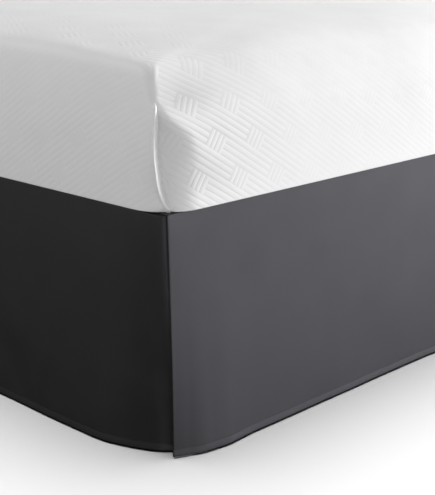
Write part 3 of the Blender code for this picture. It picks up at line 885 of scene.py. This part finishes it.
def make_box_spring(ticking, lining):
    """Upholstered base with softly bulging sides between two welts, and a lining underneath."""
    low_edge = [(0.040, 0.0), (0.020, 0.0)]
    low_edge += [(BOX_SPRING_EDGE * (1 - math.sin(angle)), BOX_SPRING_EDGE * (1 - math.cos(angle)))
                 for angle in np.linspace(0, math.pi / 2, 7)]
    low_welt, high_welt = (
        [(WELT_INSET - WELT * 0.55 * math.cos(angle), rise + WELT * math.sin(angle))
         for angle in np.radians(np.linspace(-90, 90, 7))] for rise in WELT_RISES)
    side = [(WELT_INSET - BULGE * math.sin(math.pi * share) ** 0.5,
             mix(WELT_RISES[0] + WELT, WELT_RISES[1] - WELT, share))
            for share in np.linspace(0.06, 0.94, 12)]
    high_edge = [(inset, BOX_SPRING_HEIGHT - rise) for inset, rise in low_edge[::-1]]
    profile = low_edge + low_welt + side + high_welt + high_edge

    bottom = BASE_TOP - BOX_SPRING_HEIGHT
    plans = [box_spring_ring(inset) for inset, _ in profile]
    rings = np.array([np.column_stack((plan, np.full(len(plan), bottom + rise)))
                      for plan, (_, rise) in zip(plans, profile)])
    around = PlanLine(closed_ring(rings)[len(profile) // 2]).distances
    flat = joined(around[:, None], PlanLine(profile).distances)
    skin = Skin()
    numbers = skin.add_points(rings)
    closed = closed_ring(numbers)
    skin.add_grid(closed[:3].T, flat[:, :3], slot=1)
    skin.add_grid(closed[2:].T, flat[:, 2:])
    skin.add_face(numbers[0][::-1], rings[0][::-1, :2], slot=1)
    skin.add_face(numbers[-1], rings[-1][:, :2])
    piece = skin.make("box_spring_cover", ticking, lining)
    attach(piece, "root")
    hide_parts("box_spring")


# -------- materials
class Finish:
    """A material's shader and short calls that add nodes to it."""

    def __init__(self, name, **settings):
        self.material = bpy.data.materials.new(name)
        self.material.use_nodes = True
        self.tree = self.material.node_tree
        self.shader = self.tree.nodes["Principled BSDF"]
        for name, value in settings.items():
            self.shader.inputs[name.replace("_", " ")].default_value = value

    def node(self, kind, inputs=None, **settings):
        node = self.tree.nodes.new("ShaderNode" + kind)
        for name, value in settings.items():
            setattr(node, name, value)
        for name, value in (inputs or {}).items():
            if isinstance(value, bpy.types.NodeSocket):
                self.tree.links.new(value, node.inputs[name])
            else:
                node.inputs[name].default_value = value
        return node

    def math(self, operation, *values):
        return self.node("Math", dict(enumerate(values)), operation=operation).outputs[0]

    def times(self, first, second):
        return self.math("MULTIPLY", first, second)

    def mixed(self, first, second, share):
        """A share of the first and the rest of the second."""
        return self.math("ADD", self.times(first, share), self.times(second, 1 - share))

    def vector(self, operation, first, second, output=0):
        return self.node("VectorMath", {0: first, 1: second}, operation=operation).outputs[output]

    def dot(self, vector, way):
        return self.vector("DOT_PRODUCT", vector, way, "Value")

    def wave(self, vector, way, pitch):
        """Sine of the place along a way."""
        return self.math("SINE", self.times(self.dot(vector, way), math.tau / pitch))

    def flat(self):
        """The cloth's own coordinates, in metres."""
        return self.node("UVMap", uv_map="flat").outputs["UV"]

    def place(self):
        """The place on the object, in metres."""
        return self.node("TexCoord").outputs["Object"]

    def noise(self, vector, scale, detail=2.0, roughness=0.5, stretch=None):
        if stretch:
            vector = self.vector("MULTIPLY", vector, stretch)
        inputs = {"Vector": vector, "Scale": scale, "Detail": detail, "Roughness": roughness}
        return self.node("TexNoise", inputs).outputs["Fac"]

    def colour(self, value, low, high):
        """Colours the surface from low to high as value goes from 0 to 1."""
        node = self.node("ValToRGB", {0: value})
        for element, colour in zip(node.color_ramp.elements, (low, high)):
            element.color = (*colour, 1.0)
        self.connect("Base Color", node.outputs["Color"])

    def spread(self, value, low, high, first=0.0, last=1.0):
        """Maps first..last to low..high, smoothly."""
        return self.node("MapRange", {"Value": value, "From Min": first, "From Max": last,
                                      "To Min": low, "To Max": high},
                         interpolation_type="SMOOTHSTEP").outputs[0]

    def bump(self, height, distance, below=None):
        inputs = {"Height": height, "Distance": distance}
        if below is not None:
            inputs["Normal"] = below
        return self.node("Bump", inputs).outputs["Normal"]

    def connect(self, name, socket):
        self.tree.links.new(socket, self.shader.inputs[name])


def skirt_material():
    """Charcoal brushed microfibre: dense fine weave under a short nap."""
    finish = Finish("charcoal brushed microfibre")
    flat = finish.flat()
    nap = finish.noise(flat, 900.0, 3.0, 0.6, stretch=(1.0, 0.45, 1.0))
    clouds = finish.spread(finish.noise(flat, 14.0, 3.0, 0.55), 0.0, 1.0, 0.25, 0.75)
    finish.colour(finish.mixed(nap, clouds, 0.45), SKIRT_DARK, SKIRT_LIGHT)
    finish.connect("Roughness", finish.spread(clouds, 0.48, 0.56))
    threads = finish.times(finish.wave(flat, (1, 0, 0), WEAVE_PITCH),
                           finish.wave(flat, (0, 1, 0), WEAVE_PITCH))
    finish.connect("Normal", finish.bump(nap, 0.00012, finish.bump(threads, 0.00003)))
    return finish.material


def thread_material():
    """Charcoal polyester sewing thread with a fine twist."""
    finish = Finish("charcoal polyester thread", Roughness=0.45)
    twist = finish.wave(finish.flat(), (1.0, 0.6, 0.0), 0.0006)
    finish.colour(twist, (0.016, 0.016, 0.017), (0.026, 0.026, 0.027))
    finish.connect("Normal", finish.bump(twist, 0.00005))
    return finish.material


def quilt_ribs(finish, flat):
    """Height of sewn ribs in blocks that run two ways, as in a basket weave."""
    angle = math.radians(QUILT_ANGLE)
    start = finish.vector("SUBTRACT", flat, (*BLOCK_START, 0.0))
    along = finish.dot(start, (math.cos(angle) / RIB_PITCH, -math.sin(angle) / RIB_PITCH, 0.0))
    across = finish.dot(start, (math.sin(angle) / RIB_PITCH, math.cos(angle) / RIB_PITCH, 0.0))
    column = finish.math("ROUND", finish.math("DIVIDE", along, COLUMN_PITCH))
    beside = finish.math("SUBTRACT", along, finish.times(column, COLUMN_PITCH))
    above = finish.math("SUBTRACT", across, finish.times(column, COLUMN_SHIFT))
    above = finish.math("SUBTRACT", above, finish.times(
        finish.math("ROUND", finish.math("DIVIDE", above, BLOCK_PITCH)), BLOCK_PITCH))
    in_block = finish.times(
        finish.math("LESS_THAN", finish.math("ABSOLUTE", beside), BLOCK_WIDTH / 2),
        finish.math("LESS_THAN", finish.math("ABSOLUTE", above), BLOCK_HEIGHT / 2))
    long_rib = finish.math("ADD", across, 0.5)
    rib_place = finish.node("Mix", {"Factor": in_block, "A": long_rib, "B": beside}).outputs[0]
    rib = finish.math("ABSOLUTE", finish.math("SINE", finish.times(rib_place, math.pi)))
    return finish.math("POWER", rib, 0.6)


def quilt_material():
    """White cotton cover with sewn ribs.

    The ribs stand fullest where the cloth is slack, low beside the corner seams. They are
    flatter towards the top and the middle of the sides, and flattest over the taut ends.
    """
    finish = Finish("white quilted cover", Roughness=0.85, Sheen_Weight=0.05)
    flat, place = finish.flat(), finish.place()
    near_end = finish.math("ABSOLUTE", finish.dot(place, (0.0, 1.0, 0.0)))
    fullness = finish.spread(finish.noise(flat, 7.0), 0.55, 1.25)
    for share in (finish.spread(near_end, 1.0, 0.4, 1.003, 1.013),
                  finish.spread(near_end, 0.6, 2.5, 0.74, 0.96),
                  finish.spread(finish.dot(place, (0.0, 0.0, 1.0)), 1.0, 0.35, 0.455, 0.520)):
        fullness = finish.times(fullness, share)
    ribs = finish.bump(finish.times(quilt_ribs(finish, flat), fullness), RIB_RELIEF)
    fabric = finish.noise(flat, 1400.0, 2.0, 0.6)
    tone = finish.mixed(finish.noise(flat, 9.0, 3.0, 0.5), fabric, 0.7)
    finish.colour(tone, (0.79, 0.79, 0.795), (0.85, 0.85, 0.855))
    finish.connect("Normal", finish.bump(fabric, 0.00012, ribs))
    return finish.material


def ticking_material():
    """Off-white twill ticking."""
    finish = Finish("box spring ticking", Roughness=0.82)
    flat = finish.flat()
    twill = finish.wave(flat, (1.0, 1.0, 0.0), 0.0016)
    slub = finish.noise(flat, 60.0, 3.0, 0.6, stretch=(1.0, 12.0, 1.0))
    tone = finish.math("ADD", finish.times(twill, 0.12), slub)
    finish.colour(tone, (0.50, 0.48, 0.45), (0.60, 0.585, 0.555))
    finish.connect("Normal", finish.bump(twill, 0.00012, finish.bump(slub, 0.0002)))
    return finish.material


def lining_material():
    """Dark spun lining under the box spring."""
    finish = Finish("spun lining", Roughness=0.9)
    fibres = finish.noise(finish.place(), 700.0, 4.0, 0.7, stretch=(1.0, 0.3, 1.0))
    finish.colour(fibres, (0.05, 0.05, 0.052), (0.12, 0.12, 0.125))
    finish.connect("Normal", finish.bump(fibres, 0.0003))
    return finish.material


def steel_material():
    """Black powder coat with a fine orange-peel surface and slight scuffing."""
    finish = Finish("black powder-coated steel")
    place = finish.place()
    scuffs = finish.noise(place, 38.0, 5.0, 0.65, stretch=(1.0, 1.0, 3.0))
    finish.colour(scuffs, (0.022, 0.022, 0.023), (0.038, 0.038, 0.040))
    finish.connect("Roughness", finish.spread(scuffs, 0.36, 0.58))
    finish.connect("Normal", finish.bump(finish.noise(place, 650.0, 2.0, 0.5), 0.00025))
    return finish.material


# -------- studio
def make_camera():
    camera = add_object("camera", bpy.data.cameras.new("camera"))
    camera.location = CAMERA_PLACE
    camera.rotation_euler = (math.radians(90 - CAMERA_FALL), 0.0, math.radians(CAMERA_TURN))
    camera.data.sensor_width = 36.0
    camera.data.lens = LENS
    camera.data.clip_start = 0.05
    camera.data.clip_end = 400.0
    bpy.context.scene.camera = camera


def soft_light(name, place, aim, size, watts, colour):
    data = bpy.data.lights.new(name, "AREA")
    data.shape = "RECTANGLE"
    data.size, data.size_y = size
    data.energy = watts
    data.color = colour
    light = add_object(name, data)
    light.location = place
    light.rotation_euler = (Vector(aim) - Vector(place)).to_track_quat("-Z", "Y").to_euler()
    return light


def link_light(light, receivers):
    """The light falls on the receivers alone."""
    group = bpy.data.collections.new(light.name + " receivers")
    for receiver in receivers:
        group.objects.link(receiver)
    light.light_linking.receiver_collection = group


def make_floor():
    mesh = bpy.data.meshes.new("floor")
    mesh.from_pydata([(x * FLOOR_REACH, y * FLOOR_REACH, 0)
                      for x, y in ((-1, -1), (1, -1), (1, 1), (-1, 1))], [], [(0, 1, 2, 3)])
    finish = Finish("pale studio floor", Roughness=0.9, Base_Color=(0.9, 0.9, 0.9, 1.0),
                    Specular_IOR_Level=0.0)
    mesh.materials.append(finish.material)
    floor = add_object("floor", mesh)
    floor.visible_diffuse = False
    floor.visible_glossy = False
    return floor


def make_ambient():
    """A faint light from below, as from a pale floor."""
    world = bpy.data.worlds.new("studio")
    bpy.context.scene.world = world
    world.use_nodes = True
    nodes, links = world.node_tree.nodes, world.node_tree.links
    background = nodes["Background"]
    background.inputs["Strength"].default_value = 1.0
    coordinates = nodes.new("ShaderNodeTexCoord")
    height = nodes.new("ShaderNodeSeparateXYZ")
    ramp = nodes.new("ShaderNodeMapRange")
    for name, value in zip(("From Min", "From Max", "To Min", "To Max"), (-0.35, 0.35, AMBIENT, 0)):
        ramp.inputs[name].default_value = value
    links.new(coordinates.outputs["Generated"], height.inputs[0])
    links.new(height.outputs["Z"], ramp.inputs["Value"])
    links.new(ramp.outputs["Result"], background.inputs["Color"])


def make_studio():
    """Plain pale floor and soft lights, some for the white cover and some for the dark cloth."""
    scene = bpy.context.scene
    scene.view_settings.view_transform = "Standard"
    scene.view_settings.look = "None"
    floor = make_floor()
    make_ambient()
    cover = bpy.data.objects["mattress_cover"]
    receivers = {"mattress": [cover], "skirt": [
        thing for thing in scene.objects if thing.type == "MESH" and thing not in (cover, floor)]}
    for lit, *row in LIGHTS:
        link_light(soft_light(*row), receivers[lit])
    sun = bpy.data.lights.new("floor light", "SUN")
    sun.energy = FLOOR_SUN
    sun.angle = math.radians(60)
    link_light(add_object("floor light", sun), [floor])


make_skirt(skirt_material(), thread_material())
make_mattress(quilt_material())
make_box_spring(ticking_material(), lining_material())
steel = steel_material()
for node_name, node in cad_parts.items():
    if node_name.startswith("frame_"):
        for material_slot in node.material_slots:
            material_slot.material = steel
make_camera()
make_studio()
